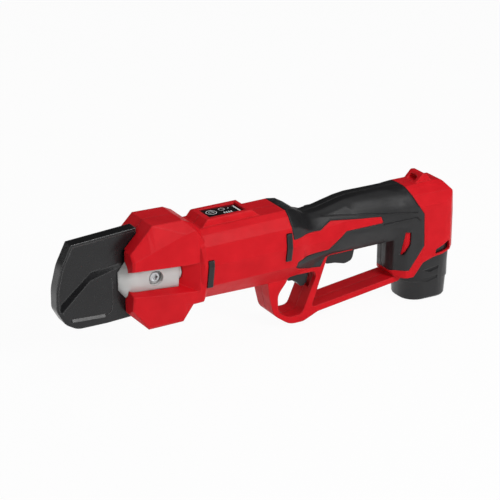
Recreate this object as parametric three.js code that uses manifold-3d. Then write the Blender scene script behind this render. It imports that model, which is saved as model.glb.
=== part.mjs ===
// Battery electric pruner: a motor drives a ball screw that swings a cutting blade past a fixed
// hook blade. Millimetres. -X is the blade end, +X the battery end, -Y the left side, +Z up.
// The pieces are laid out from the drive axis (Y = 0, Z = 0); the last lines move the whole tool
// so that the origin is the centre of the battery's base, on which it stands.
import * as THREE from 'three';
import { mergeVertices } from 'three/addons/utils/BufferGeometryUtils.js';
import Module from 'manifold-3d';

const wasm = await Module();
wasm.setup();

// Clearances
const GAP = 0.3;
const SEAM = 0.15;
const PIN_FIT = 0.15;
const WALL = 3;
const CRADLE_X = [-57, -30, 14];
const RIB = 2.5;

// Facets round a turned piece, and round a small pin or screw
const ROUND = 24;
const ROUND_SMALL = 12;

// Blades and their pivot
const PIVOT_X = -107;
const PIVOT_R = 4;
const PIVOT_HEAD_R = 5.6;
const BLADE_THICK = 4;
const BLADE_GAP = 0.3;
const BLADE_OUT = BLADE_GAP / 2 + BLADE_THICK;
const BLADE_DISC_R = 13;
const TAIL_R = 27;
const TAIL_HALF = 7;
const YOKE_PIN_R = 3;
const YOKE_PIN_Z = 18.8;
const YOKE_PIN_X = PIVOT_X - YOKE_PIN_Z * Math.tan(Math.PI / 9);

// Clevis-shaped nose casting
const NOSE_FRONT_X = -140;
const NOSE_SHOULDER_X = -130.5;
const NOSE_TIP_HALF = 12;
const NOSE_REAR_X = -84;
const NOSE_HALF_WIDTH = 20;
const NOSE_HALF_HEIGHT = 26;
const CLEVIS_HALF = 9.5;
const FLANGE_R = 25;
const FLANGE_X = -68;
const FLANGE_THICK = 6;
const FLANGE_SCREW_R = FLANGE_R - 4;
const NECK_R = FLANGE_SCREW_R - 4.2;
const FLANGE_HEAD_R = 3.2;
const FLANGE_HEAD_LENGTH = 3;
const FLANGE_SHANK_R = 2;
const BOSS_R = 11;
const WASHER_THICK = 0.95;
const HOOK_LUG = [-98, -20];
const HOOK_PIN_R = 2.5;
const HEAD_SEAT_Y = 13.6;
const NUT_HEX_R = 7.3;

// Drive: nut, screw, bearing, planetary stage
const NUT_R = 11.8;
const NUT_LENGTH = 24;
const NUT_FRONT_X = -91;
const SCREW_R = 4.9;
const SCREW_COLLAR_R = 7;
const BEARING_X = -51;
const BEARING_LENGTH = 8;
const BEARING_R = 14;
const GEARCASE_R = 26.3;
const GEARCASE_FRONT_X = -61.6;
const GEARCASE_REAR_X = -24;
const SCREW_END_X = GEARCASE_FRONT_X + 8;
const MODULE_MM = 0.75;
const SUN_TEETH = 12;
const PLANET_TEETH = 18;
const RING_TEETH = SUN_TEETH + 2 * PLANET_TEETH;
const RING_RIM = 3;
const RING_OUTER_R = (MODULE_MM * RING_TEETH) / 2 + RING_RIM;
const GEAR_X = -39;
const GEAR_LENGTH = 9;
const PLANET_PIN_R = 2;
const CARRIER_X = [-42.1, -39.6];

// Motor
const MOTOR_R = 25;
const MOTOR_FRONT_X = -23.6;
const MOTOR_REAR_X = 24;
const CAN_WALL = 2.4;
const CAN_FRONT = 6;
const STATOR_X = -12;
const STATOR_LENGTH = 27;
const ROTOR_R = 12.6;
const AIR_GAP = 0.6;
const SHAFT_R = 3;
const MOTOR_BEARING_R = 8;
const MOTOR_BEARING_LENGTH = 5;

// Handle frame below the grip
const FRAME_HALF = 14.5;

// Trigger
const TRIGGER_HALF = 7.8;
const TRIGGER_PIVOT = [112, -6.5];
const TRIGGER_PIN_R = 2;

// Battery: three upright cells in a case whose foot carries the tool
const CELL_R = 9;
const CELL_LENGTH = 65;
const CELLS = [[-9.2, -7.4], [9.2, -7.4], [0, 8.7]];
const BATTERY_X = 190;
const BATTERY_FOOT_Z = -79.5;
const BATTERY_STEM_TOP = 10;
const BATTERY_STEM = [41, 38.4, 13];
const BATTERY_SHOULDER = [54, 43.6, 17];
const SHOULDER_TOP = -19;
const BATTERY_HEAD = [56, 47.6, 19];
const BATTERY_FOOT = [51, 43.4, 19];
const BATTERY_HEAD_Z = -26.5;
const BATTERY_WALL = 1.4;
const LATCH = { x: [BATTERY_X + 2.6, BATTERY_X + 21], z: [-33.4, -20], thick: 1.3, travel: 1 };

// Rubber, pads, display, sheath, screws
const RUBBER = 2;
const PAD = [5.4, 27, 3.2];
const DISPLAY = { x0: -48, x1: -11, half: 11, z: 44, thick: 2 };
const DISPLAY_LEDGE = 1.4;
const BUTTON_R = 5.8;
const SHEATH_HALF = 9;
const SHEATH_WALL = 2.2;
const SHEATH_REAR_X = -119.5;
const SHEATH_RIM = 6.2;
const SHEATH_BAND = 2.6;
const SHEATH_STEP = 0.6;
const SCREW_HEAD_R = 3.1;
const SCREW_SHANK_R = 1.5;

// Materials
const paint = (color, roughness, metalness = 0) => (
  new THREE.MeshStandardMaterial({ color, roughness, metalness, flatShading: true })
);
const RED = paint(0xc8202b, 0.45);
const BLACK_RUBBER = paint(0x2b2b2b, 0.85);
const BLACK_PLASTIC = paint(0x242424, 0.5);
const GLOSS_BLACK = paint(0x0b0b0c, 0.12);
const CAST_ALLOY = paint(0xc6c8c8, 0.4, 0.9);
const STEEL = paint(0x9a9da0, 0.35, 1);
const BLADE_STEEL = paint(0xb9bcbf, 0.25, 1);
const BOARD = paint(0x1f5a35, 0.6);
const COPPER = paint(0xb06a3a, 0.45, 0.8);
const CELL_WRAP = paint(0x2f6fa8, 0.5);

// Shape helpers
function toSolid(geometry) {
  const bare = new THREE.BufferGeometry();
  bare.setAttribute('position', geometry.getAttribute('position'));
  if (geometry.index) bare.setIndex(geometry.index);
  const merged = mergeVertices(bare);
  const corner = (i) => new THREE.Vector3().fromBufferAttribute(merged.getAttribute('position'), i);
  const kept = [];
  let volume = 0;
  for (let i = 0; i < merged.index.count; i += 3) {
    const [a, b, c] = [0, 1, 2].map((k) => merged.index.getX(i + k));
    if (a === b || b === c || c === a) continue;
    kept.push([a, b, c]);
    volume += corner(a).dot(corner(b).cross(corner(c)));
  }
  const outward = kept.map(([a, b, c]) => (volume > 0 ? [a, b, c] : [a, c, b]));
  return new wasm.Manifold(new wasm.Mesh({
    numProp: 3,
    vertProperties: new Float32Array(merged.getAttribute('position').array),
    triVerts: new Uint32Array(outward.flat()),
  }));
}

function toGeometry(solid) {
  const mesh = solid.getMesh();
  const geometry = new THREE.BufferGeometry();
  geometry.setAttribute('position', new THREE.BufferAttribute(mesh.vertProperties, 3));
  geometry.setIndex(new THREE.BufferAttribute(mesh.triVerts, 1));
  return geometry;
}

const solid = (shape) => (shape.isBufferGeometry ? toSolid(shape) : shape);
const join = (...shapes) => shapes.map(solid).reduce((a, b) => a.add(b));
const cut = (shape, ...tools) => tools.map(solid).reduce((a, b) => a.subtract(b), solid(shape));
const common = (...shapes) => shapes.map(solid).reduce((a, b) => a.intersect(b));

function block([x0, x1], [y0, y1], [z0, z1]) {
  const box = new THREE.BoxGeometry(x1 - x0, y1 - y0, z1 - z0);
  return box.translate((x0 + x1) / 2, (y0 + y1) / 2, (z0 + z1) / 2);
}

// Corners [u, v, radius] to points, with each radius as an arc
function outline(corners, steps = 3) {
  return corners.flatMap(([u, v, r], i) => {
    const here = new THREE.Vector2(u, v);
    if (!r) return [here];
    const [before, after] = [corners.at(i - 1), corners[(i + 1) % corners.length]]
      .map(([a, b]) => new THREE.Vector2(a, b).sub(here).normalize());
    const half = Math.acos(THREE.MathUtils.clamp(before.dot(after), -1, 1)) / 2;
    const middle = before.clone().add(after).normalize();
    const centre = here.clone().addScaledVector(middle, r / Math.sin(half));
    const from = before.multiplyScalar(r / Math.tan(half)).add(here).sub(centre);
    const to = after.multiplyScalar(r / Math.tan(half)).add(here).sub(centre);
    const turn = Math.atan2(from.cross(to), from.dot(to));
    const arc = [];
    for (let k = 0; k <= steps; k += 1) {
      arc.push(from.clone().rotateAround(new THREE.Vector2(), (turn * k) / steps).add(centre));
    }
    return arc;
  });
}

// Moves every side of a closed outline inward by a distance, and adjusts its corner radii
function inset(corners, distance) {
  if (!distance) return corners;
  const points = asVectors(corners);
  const sign = THREE.ShapeUtils.area(points) > 0 ? 1 : -1;
  return points.map((here, i) => {
    const a = here.clone().sub(points.at(i - 1)).normalize();
    const b = points[(i + 1) % points.length].clone().sub(here).normalize();
    const na = new THREE.Vector2(-a.y, a.x).multiplyScalar(sign);
    const nb = new THREE.Vector2(-b.y, b.x).multiplyScalar(sign);
    const moved = here.clone().addScaledVector(na.clone().add(nb), distance / (1 + na.dot(nb)));
    const bulges = a.cross(b) * sign > 0;
    const radius = Math.max(0, (corners[i][2] ?? 0) + (bulges ? -distance : distance));
    return [moved.x, moved.y, corners[i][2] ? radius : 0];
  });
}

const asVectors = (points) => points.map((p) => (p.isVector2 ? p : new THREE.Vector2(p[0], p[1])));
const extrude = (points, depth) => (
  new THREE.ExtrudeGeometry(new THREE.Shape(asVectors(points)), { depth, bevelEnabled: false })
);
// Outlines in X and Z run along Y, in X and Y along Z, in Y and Z along X
const slab = (points, [y0, y1]) => extrude(points, y1 - y0).rotateX(Math.PI / 2).translate(0, y1, 0);
const plate = (points, [z0, z1]) => extrude(points, z1 - z0).translate(0, 0, z0);
const bar = (points, [x0, x1]) => (
  extrude(points, x1 - x0).rotateX(Math.PI / 2).rotateZ(Math.PI / 2).translate(x0, 0, 0)
);

function rod(axis, radius, [from, to], [u, v] = [0, 0], sides = ROUND) {
  const cylinder = new THREE.CylinderGeometry(radius, radius, to - from, sides, 1);
  const middle = (from + to) / 2;
  if (axis === 'x') return cylinder.rotateZ(Math.PI / 2).translate(middle, u, v);
  if (axis === 'y') return cylinder.translate(u, middle, v);
  return cylinder.rotateX(Math.PI / 2).translate(u, v, middle);
}

// A profile of [x, radius] pairs turned about the X axis
function turned(profile, sides = ROUND) {
  const points = profile.map(([x, r]) => new THREE.Vector2(r, x));
  const shape = new THREE.LatheGeometry(points, sides);
  return shape.rotateZ(-Math.PI / 2);
}

// Skins rings of equal point counts, given as 3-D points, and closes both ends
function loft(rings) {
  const count = rings[0].length;
  const position = rings.flat().flatMap((p) => p.toArray());
  const index = [];
  for (let r = 0; r < rings.length - 1; r += 1) {
    for (let k = 0; k < count; k += 1) {
      const a = r * count + k;
      const b = r * count + ((k + 1) % count);
      index.push(a, b, b + count, a, b + count, a + count);
    }
  }
  const last = (rings.length - 1) * count;
  for (const [ring, start, flip] of [[rings[0], 0, true], [rings.at(-1), last, false]]) {
    const drop = ['x', 'y', 'z'].find((k) => ring.every((p) => Math.abs(p[k] - ring[0][k]) < 1e-6));
    const [u, v] = { x: ['y', 'z'], y: ['z', 'x'], z: ['x', 'y'] }[drop];
    const flat = ring.map((p) => new THREE.Vector2(p[u], p[v]));
    const turn = THREE.ShapeUtils.area(flat) > 0;
    for (const [a, b, c] of THREE.ShapeUtils.triangulateShape(flat, [])) {
      const face = turn ? [a, b, c] : [a, c, b];
      const kept = flip ? [face[0], face[2], face[1]] : face;
      index.push(...kept.map((k) => start + k));
    }
  }
  const geometry = new THREE.BufferGeometry();
  geometry.setAttribute('position', new THREE.Float32BufferAttribute(position, 3));
  geometry.setIndex(index);
  return geometry;
}

// Half sections [y, z] from top to bottom, mirrored and skinned along X
function hullAlongX(stations, depth = 0, [frontIn, rearIn] = [0, 0]) {
  const rings = stations.map(([x, half], i) => {
    const left = half.map(([y, z]) => [-y, z]).reverse();
    const at = x + (i === 0 ? frontIn : 0) - (i === stations.length - 1 ? rearIn : 0);
    const ring = inset([...half, ...left].reverse(), depth);
    return ring.map(([y, z]) => new THREE.Vector3(at, y, z));
  });
  return loft(rings);
}

// Mirrors a left-side shape to the right side
const mirrorY = (shape) => solid(shape).mirror([0, 1, 0]);
const LEFT = [-60, -SEAM];
const RIGHT = [SEAM, 60];
const halfSpace = (side) => block([-260, 260], side, [-120, 120]);

// Outlines of the rear end are given from the middle of the battery
const fromBattery = (points) => points.map(([x, ...rest]) => [BATTERY_X + x, ...rest]);

// The tool's outer body, drawn in by a depth: faceted head, barrel, grip and battery housing
const HEAD_STATIONS = [
  [-133, [[21.5, 27], [26.2, 21.5], [26.8, -13], [26.6, -17], [24.8, -25], [17, -30.5]]],
  [-131, [[21.4, 29.1], [28, 22], [28, -13.2], [27.2, -17.4], [25, -27], [18, -33]]],
  [-115, [[21, 45.8], [28, 27.5], [28, -14.4], [26.4, -21], [21, -46.4], [19.4, -48.6]]],
  [-110.4, [[20.6, 50.8], [28, 29.2], [28, -14.7], [26.2, -22], [21, -46.4], [19.4, -48.6]]],
  [-80, [[20, 50.8], [28, 39.8], [28, -16.6], [24.6, -28.8], [20.8, -46], [19.4, -47.8]]],
  [-71, [[21, 46.5], [28.5, 42], [28, -17.2], [24.4, -30.4], [22.4, -31.8], [20.6, -32]]],
  [-61, [[18.4, 37.4], [27, 28.6], [28, -16.6], [24.2, -30], [22.4, -31.4], [14, -31.4]]],
  [-56, [[16, 34], [24, 28], [27, -13], [24, -17.5], [20, -22], [13, -29]]],
];

// Barrel sections round the gearcase: each corner's spare width beyond the gearcase, and its height
const aroundGears = (points) => points.map(([spare, z]) => [GEARCASE_R + spare, z]);
const BARREL_STATIONS = [
  [-66, aroundGears([[-9.3, 36], [-3.3, 32], [2.7, 23], [4.2, 5], [0.7, -15], [-12.8, -30]])],
  [-62, aroundGears([[-7.9, 38], [-2.3, 33.9], [3.7, 24.5], [5.2, 5], [1.7, -15], [-12.3, -31.3]])],
  [28, aroundGears([[-7.9, 40.6], [-2.3, 36.4], [4.2, 27], [6.2, 8], [2.2, -13], [-12.3, -31.3]])],
  [36, [[17.4, 39.8], [22.8, 35.4], [29, 25.5], [30.8, 7], [27.5, -13], [14.3, -30]]],
  [43, [[14.4, 36], [19.8, 31.6], [26, 21.5], [28, 6], [26, -12.5], [14.4, -28]]],
  [50, [[11, 30.8], [17.2, 27], [23, 17.5], [25, 4], [23.6, -12], [14.5, -26]]],
  [57, [[9, 28.8], [16, 25], [21.6, 15.6], [23.4, 3], [22, -12], [14.5, -24.6]]],
  [72, [[9, 30.6], [16.5, 26.6], [21.5, 16], [22.5, 3], [20.8, -9], [14.9, -15.8]]],
  [94, [[9, 36], [16.5, 31.4], [21.5, 19], [22.5, 4], [20.5, -8], [14.6, -15.2]]],
  [106, [[9, 37.6], [16.8, 33], [22, 20], [23, 4], [20, -7.4], [14.4, -14.8]]],
  [138, [[8.5, 38.2], [16.5, 34], [22.6, 20.6], [24, 4], [20, -7.6], [14, -14.6]]],
  [BATTERY_X - 18, [[8.5, 38.6], [16.5, 34.2], [23.6, 21], [24.5, 4], [20, -8], [14, -15]]],
];
const REAR_SIDE = fromBattery([
  [-44, -10], [-44, -38], [-41.5, -47], [-38, -52], [-22, -52], [-11.5, -39], [0, -35.2], [10, -33.8],
  [18, -32], [32, -29], [30.6, -18], [24.5, 27, 5], [15, 38.8, 5], [6, 39.2], [-12, 38.6], [-28, 38],
  [-41, 35], [-44, 20],
]);
const REAR_PLAN = fromBattery([[-44, 7, 4], [-40, 14, 6], [-30, 24.5, 8], [29.6, 24.5, 17]]);
const REAR_SECTION = [
  [-25, -60], [-25, 18], [-20.4, 30.6], [-14.4, 36.4], [-9, 40.2], [9, 40.2], [14.4, 36.4],
  [20.4, 30.6], [25, 18], [25, -60],
];

function rearBody(depth) {
  const side = outline(inset(REAR_SIDE, depth), 3);
  const right = REAR_PLAN.map(([x, y, r]) => [x, -y, r]);
  const plan = outline(inset([...right, ...REAR_PLAN.toReversed()], depth));
  const section = inset(REAR_SECTION, depth);
  return common(slab(side, [-40, 40]), plate(plan, [-80, 60]), bar(section, [100, 240]));
}

function outerBody(depth) {
  return join(
    hullAlongX(HEAD_STATIONS, depth, [depth, 0]),
    hullAlongX(BARREL_STATIONS, depth, [depth, 0]),
    rearBody(depth),
  );
}

// The D-shaped frame: finger guard, strut and lower bar
const FRAME_OUTLINE = [
  [10, -26], [11.6, -34.4], [13, -46, 20], [17.5, -65, 14], [35, -77.4, 18], [50, -77.2, 12],
  [66, -70.2, 8], [110, -63.9], [BATTERY_X - 33.5, -57.1], [BATTERY_X - 27.6, -52],
  [BATTERY_X - 30, -30], [BATTERY_X - 30, -8], [60, -8], [10, -14],
];
const FINGER_HOLE = [
  [33.6, -28, 3], [30.5, -34, 8], [21.8, -45, 12], [22.5, -63, 9], [34, -69.9, 9], [48, -69.9, 7],
  [63.4, -34, 5], [62, -28.4, 3],
];
const HAND_HOLE = [
  [76.2, -14.6, 3], [106, -14.8], [132, -14.2], [BATTERY_X - 30, -13.4], [BATTERY_X - 30, -50.9],
  [58.6, -64.9, 2],
];

const fingerHole = () => slab(outline(FINGER_HOLE), [-40, 40]);
// The hand hole ends at the rounded front of the battery housing
const handHole = () => cut(slab(outline(HAND_HOLE), [-40, 40]), rearBody(0));

function frameBody() {
  const outer = slab(outline(FRAME_OUTLINE), [-FRAME_HALF, FRAME_HALF]);
  return cut(outer, fingerHole(), handHole());
}

// Raised block that carries the display, and the hanging lug at the rear
const BLOCK_SIDE = [[-62, 34], [-53, 44.8], [-7, 46.1], [3, 38], [3, 34]];
const LUG_SIDE = fromBattery([
  [-19, 34], [-15, 37.2], [-6, 46.6, 2], [-1.4, 46.2, 2], [6, 38.4], [9, 34],
]);
const LUG_HALF = 10;
const LUG_TUNNEL = [[-6.2, 39.3, 1], [-5.8, 44, 1.5], [5.8, 44, 1.5], [6.2, 39.3, 1]];

function displayBlock() {
  const across = [[-16.5, 30], [-16.5, 43.6], [-14.6, 47], [14.6, 47], [16.5, 43.6], [16.5, 30]];
  return common(slab(BLOCK_SIDE, [-20, 20]), bar(across, [-70, 10]));
}

// Window in each cheek of the head: a funnel from the casting out to the side face
function headWindow() {
  const y = [-14, -31];
  const inner = [[-150, 9], [NOSE_REAR_X + GAP, 8.6], [NOSE_REAR_X + GAP, -11], [-150, -6.6]];
  const outer = [[-150, 15.4], [-63, 10], [-63, -19.2], [-150, -10.4]];
  const ring = (points, at) => points.map(([x, z]) => new THREE.Vector3(x, at, z));
  return loft([ring(inner, y[0]), ring(outer, y[1])]);
}

// The casting's outer skin, grown by a clearance
function noseSkin(grow) {
  const section = (w, h) => [[w * 0.45, h], [w * 0.8, h * 0.72], [w * 0.95, h * 0.4], [w, 0],
    [w * 0.95, -h * 0.4], [w * 0.8, -h * 0.72], [w * 0.45, -h]];
  const body = hullAlongX([
    [NOSE_FRONT_X - grow, section(NOSE_TIP_HALF, NOSE_TIP_HALF)],
    [NOSE_SHOULDER_X, section(NOSE_HALF_WIDTH, NOSE_HALF_HEIGHT - 5)],
    [NOSE_SHOULDER_X + 6, section(NOSE_HALF_WIDTH, NOSE_HALF_HEIGHT)],
    [NOSE_REAR_X + grow, section(NOSE_HALF_WIDTH, NOSE_HALF_HEIGHT)],
  ], -grow);
  const neck = turned([
    [NOSE_REAR_X - 4, 0], [NOSE_REAR_X - 4, NECK_R + grow], [FLANGE_X - grow, NECK_R + grow],
    [FLANGE_X - grow, FLANGE_R + grow], [FLANGE_X + FLANGE_THICK + grow, FLANGE_R + grow],
    [FLANGE_X + FLANGE_THICK + grow, 0],
  ]);
  return join(body, neck);
}

// Black rubber region seen from the side, and the part of the frame that it covers
const RUBBER_REGION = [
  [26.6, 70], [26.8, 34], [27.6, 24.2], [29.2, 15.6], [31, 15], [45, 15.8], [63.2, 15], [75.6, 21.7],
  [130, 17], [132, 11.8], [131, 10.2], [91.9, 8.8], [72.9, -6.6], [45.3, -6.5], [35.8, -9.5],
  [34.6, -15], [40, -18.6], [55, -23.6], [68, -24.8], [72.3, -17], [77, -12.9], [103, -13],
  [104, -18], [113, -18], [126, -47], [BATTERY_X - 48, -47], [BATTERY_X - 39, -44.4],
  [BATTERY_X - 27.6, -44], [BATTERY_X - 10.8, -21.5], [BATTERY_X - 11.8, 11.6], [BATTERY_X - 18.4, 21],
  [BATTERY_X - 27, 37], [BATTERY_X - 30, 70],
];
const RUBBER_FRAME = [[44, -4], [44, -27], [73, -27], [82, -4]];

function rubberSkin(clearance) {
  const region = slab(inset(RUBBER_REGION, -clearance), [-60, 60]);
  const depth = RUBBER + clearance;
  const grown = (by) => join(
    hullAlongX(BARREL_STATIONS, -by), rearBody(-by), slab(RUBBER_FRAME, [-FRAME_HALF - by, FRAME_HALF + by]),
  );
  return common(cut(grown(clearance), grown(-depth)), region);
}

// Fastening points [x, z, y of the head seat] of the housing screws
const HOUSING_SCREWS = [
  [-92, 43, 16], [-92, -38, 18], [40, 32, 12], [20, -34, 10], [56.5, -68, 10],
  [BATTERY_X - 40, 28, 13], [BATTERY_X - 33, -38, 12],
];
const SCREW_TIP_Y = -9;

function screwHoles() {
  return join(...HOUSING_SCREWS.map(([x, z, seat]) => join(
    rod('y', SCREW_SHANK_R + PIN_FIT, [SCREW_TIP_Y - 0.4, seat + 1], [x, z], ROUND_SMALL),
    rod('y', SCREW_HEAD_R + GAP, [seat, 40], [x, z], ROUND_SMALL),
  )));
}

function screwBosses() {
  const bosses = HOUSING_SCREWS.map(([x, z]) => rod('y', SCREW_HEAD_R + 1.4, [-24, 24], [x, z], ROUND_SMALL));
  return common(join(...bosses), outerBody(RUBBER + 1));
}

// Trigger: a bar on a rear pivot with one lobe in the finger hole and one in the hand hole
const TRIGGER_SIDE = [
  [36, -10], [36, -33], [36.6, -35.8, 1], [41.4, -36, 4], [46.4, -39, 4], [50, -43.4, 2], [53.4, -43.8, 2],
  [56.6, -40.6, 2], [59.4, -31], [60.6, -21.4], [77.6, -19.6], [77.8, -26.4, 2], [88, -27.2, 8],
  [99, -30, 6], [107.4, -28, 6], [109.8, -17, 2], [109.6, -10.6], [115.4, -10], [116.6, -6.5, 2],
  [115, -2.4, 2], [108, -2.4], [100, -7.4],
];
const TRIGGER_WELL = [
  [32.8, 8], [32.8, -46], [64, -46], [64, -22.8], [76.8, -21], [76.8, -40], [111.4, -40], [111.4, -11.6],
  [120, -11.6], [120, 8],
];

function triggerWell() {
  return slab(TRIGGER_WELL, [-TRIGGER_HALF - 0.5, TRIGGER_HALF + 0.5]);
}

// Rounded rectangle in X and Y about the battery's middle
function roundedPlan([length, width, radius], grow = 0) {
  const [a, b] = [length / 2 + grow, width / 2 + grow];
  const corners = [[-a, -b], [a, -b], [a, b], [-a, b]];
  return outline(corners.map(([x, y]) => [BATTERY_X + x, y, radius + grow]), 6);
}

// Hollow inside the housing: thin walls in front, and room for the rubber's recess behind
function housingCavity() {
  const behindRubber = WALL + RUBBER;
  return join(
    common(hullAlongX(BARREL_STATIONS, WALL), block([GEARCASE_FRONT_X - 6, 26], [-60, 60], [-60, 60])),
    common(hullAlongX(BARREL_STATIONS, behindRubber), block([25, 240], [-60, 60], [-60, 60])),
    rearBody(behindRubber),
  );
}

function housing(side) {
  const shell = cut(outerBody(0), housingCavity(), handHole(), fingerHole());
  const whole = join(
    shell, frameBody(), displayBlock(), screwBosses(), slab(outline(LUG_SIDE), [-LUG_HALF, LUG_HALF]),
    pinBosses(), cradleRibs(),
  );
  const carved = cut(
    whole, rubberSkin(GAP), noseSkin(GAP + 0.1), headWindow(), mirrorY(headWindow()), bladeSlot(),
    triggerWell(), screwHoles(), displayPocket(), padPockets(),
    bar(outline(LUG_TUNNEL), [BATTERY_X - 30, BATTERY_X + 16]),
    rod('y', TRIGGER_PIN_R + PIN_FIT, [-13.4, 13.4], TRIGGER_PIVOT, ROUND_SMALL), drivePocket(),
    plate(roundedPlan(BATTERY_STEM, GAP), [-90, BATTERY_STEM_TOP + 2]),
    plate(roundedPlan(BATTERY_SHOULDER, GAP), [-90, SHOULDER_TOP + GAP]), latchWindows(),
  );
  return largest(common(carved, halfSpace(side)));
}

// Windows in the housing's skirt, through which the latches are pressed
const LATCH_WINDOW = fromBattery([[2.2, -33, 1.5], [3.6, -28, 1.5], [20, -21, 1.5], [20.4, -30.4, 1.5]]);

function latchWindows() {
  const left = slab(outline(LATCH_WINDOW, 2), [-40, -BATTERY_SHOULDER[1] / 2 + 6]);
  return join(left, mirrorY(left));
}

const pinBosses = () => join(
  rod('y', 4.6, [TRIGGER_HALF + 0.6, 19], TRIGGER_PIVOT, ROUND_SMALL),
  rod('y', 4.6, [-19, -TRIGGER_HALF - 0.6], TRIGGER_PIVOT, ROUND_SMALL),
);

// Slot between the jaws for the sheath, the swinging blade and the nut's arms
function bladeSlot() {
  const behind = SHEATH_REAR_X + 0.5;
  const wide = [
    [-160, -60], [-160, 28], [behind, 28], [-84, 27], [-66, 27], [-66, -16], [-84, -28], [behind, -28],
    [behind, -60],
  ];
  const tall = [[-160, 20], [-160, 60], [behind, 60], [behind, 36], [-113, 31], [-95, 31], [-90, 20]];
  const half = CLEVIS_HALF + 0.1;
  const rim = SHEATH_RIM + SEAM * 3;
  return join(slab(wide, [-half, half]), slab(tall, [-rim, rim]));
}

function displayPocket() {
  const { x0, x1, half, z, thick } = DISPLAY;
  return join(
    block([x0 - GAP, x1 + GAP], [-half - GAP, half + GAP], [z - thick - 0.6, z + 6]),
    block([x0 + DISPLAY_LEDGE, x1 - DISPLAY_LEDGE], [DISPLAY_LEDGE - half, half - DISPLAY_LEDGE], [z - 9, z]),
  );
}

const PADS = { front: [-57, -2.5], rear: [24, 8.5] };
const padBox = ([x, z], grow) => block(
  [x - PAD[0] / 2 - grow, x + PAD[0] / 2 + grow], [-40, 0], [z - PAD[1] / 2 - grow, z + PAD[1] / 2 + grow],
);

function padShape(at, grow) {
  const outer = hullAlongX(BARREL_STATIONS, -(PAD[2] - 1.8));
  const inner = hullAlongX(BARREL_STATIONS, 1.8 + grow);
  return common(cut(outer, inner), padBox(at, grow));
}

function padPockets() {
  const left = join(padShape(PADS.front, GAP), padShape(PADS.rear, GAP));
  return join(left, mirrorY(left));
}

// Four screws hold the flange of the nose casting to the gearcase
const FLANGE_SCREWS = [45, 135, 225, 315].map((angle) => {
  const turn = THREE.MathUtils.degToRad(angle);
  return [FLANGE_SCREW_R * Math.cos(turn), FLANGE_SCREW_R * Math.sin(turn)];
});

// Room for the flange screws' heads, the gearcase and the motor
function drivePocket() {
  const heads = FLANGE_SCREWS.map((at) => (
    rod('x', FLANGE_HEAD_R + GAP, [FLANGE_X - FLANGE_HEAD_LENGTH - 2 * GAP, FLANGE_X + 1], at, ROUND_SMALL)
  ));
  const room = turned([
    [FLANGE_X + 1, 0], [FLANGE_X + 1, FLANGE_R + GAP], [GEARCASE_FRONT_X - GAP, FLANGE_R + GAP],
    [GEARCASE_FRONT_X - GAP, GEARCASE_R + GAP], [GEARCASE_REAR_X + GAP / 2, GEARCASE_R + GAP],
    [GEARCASE_REAR_X + GAP / 2, MOTOR_R + GAP], [MOTOR_REAR_X + 6, MOTOR_R + GAP], [MOTOR_REAR_X + 6, 0],
  ]);
  return join(room, ...heads);
}

// Ribs inside the barrel that cradle the gearcase and the motor
function cradleRibs() {
  const ribs = CRADLE_X.map((x) => block([x, x + RIB], [-50, 50], [-50, 50]));
  return common(join(...ribs), hullAlongX(BARREL_STATIONS, WALL - 1));
}

// Keeps the largest body, dropping crumbs cut loose at an edge
function largest(shape) {
  const parts = shape.decompose();
  return parts.reduce((a, b) => (a.volume() > b.volume() ? a : b));
}

const tool = new THREE.Group();
const place = (name, shape, material) => {
  const mesh = new THREE.Mesh(toGeometry(solid(shape)), material);
  mesh.name = name;
  tool.add(mesh);
  return mesh;
};

// Housing halves, overmoulded grips and side pads
place('left_housing', housing(LEFT), RED);
place('right_housing', housing(RIGHT), RED);

const GRIP_SLOT = fromBattery([
  [-31.4, -4.4], [-25.8, -4.8], [-26.2, -17], [-32.8, -28.4], [-34.8, -27.4],
]);

function grip(side) {
  const skin = cut(
    rubberSkin(0), handHole(), triggerWell(), screwHoles(), slab(GRIP_SLOT, [-40, 40]), padPockets(),
  );
  return largest(common(skin, halfSpace(side)));
}

place('left_grip', grip(LEFT), BLACK_RUBBER);
place('right_grip', grip(RIGHT), BLACK_RUBBER);
for (const [where, at] of Object.entries(PADS)) {
  place(`left_${where}_pad`, padShape(at, 0), BLACK_RUBBER);
  place(`right_${where}_pad`, mirrorY(padShape(at, 0)), BLACK_RUBBER);
}
HOUSING_SCREWS.forEach(([x, z, seat], i) => {
  const screw = join(
    rod('y', SCREW_HEAD_R, [seat + GAP, seat + 2.6], [x, z], ROUND_SMALL),
    rod('y', SCREW_SHANK_R, [SCREW_TIP_Y, seat + GAP + 0.2], [x, z], ROUND_SMALL),
  );
  place(`housing_screw_${i + 1}`, screw, STEEL);
});

// Display panel, its board and the power button
const BUTTON_X = DISPLAY.x0 + 7.6;

function displayPanel() {
  const { x0, x1, half, z, thick } = DISPLAY;
  const panel = block([x0, x1], [-half, half], [z - thick, z]);
  return cut(panel, rod('z', BUTTON_R + GAP, [z - thick - 1, z + 1], [BUTTON_X, 0]));
}

function displayBoard() {
  const { x0, x1, half, z } = DISPLAY;
  const edge = DISPLAY_LEDGE + GAP;
  return block([x0 + edge, x1 - edge], [edge - half, half - edge], [z - 9 + GAP, z - 7.2]);
}

function modeButton() {
  const { z, thick } = DISPLAY;
  return join(
    rod('z', BUTTON_R, [z - thick, z + 0.4], [BUTTON_X, 0]),
    rod('z', BUTTON_R / 3, [z - 6.2, z - thick + 0.5], [BUTTON_X, 0], ROUND_SMALL),
  );
}

place('display_panel', displayPanel(), GLOSS_BLACK);
place('display_board', displayBoard(), BOARD);
place('mode_button', modeButton(), GLOSS_BLACK);

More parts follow.
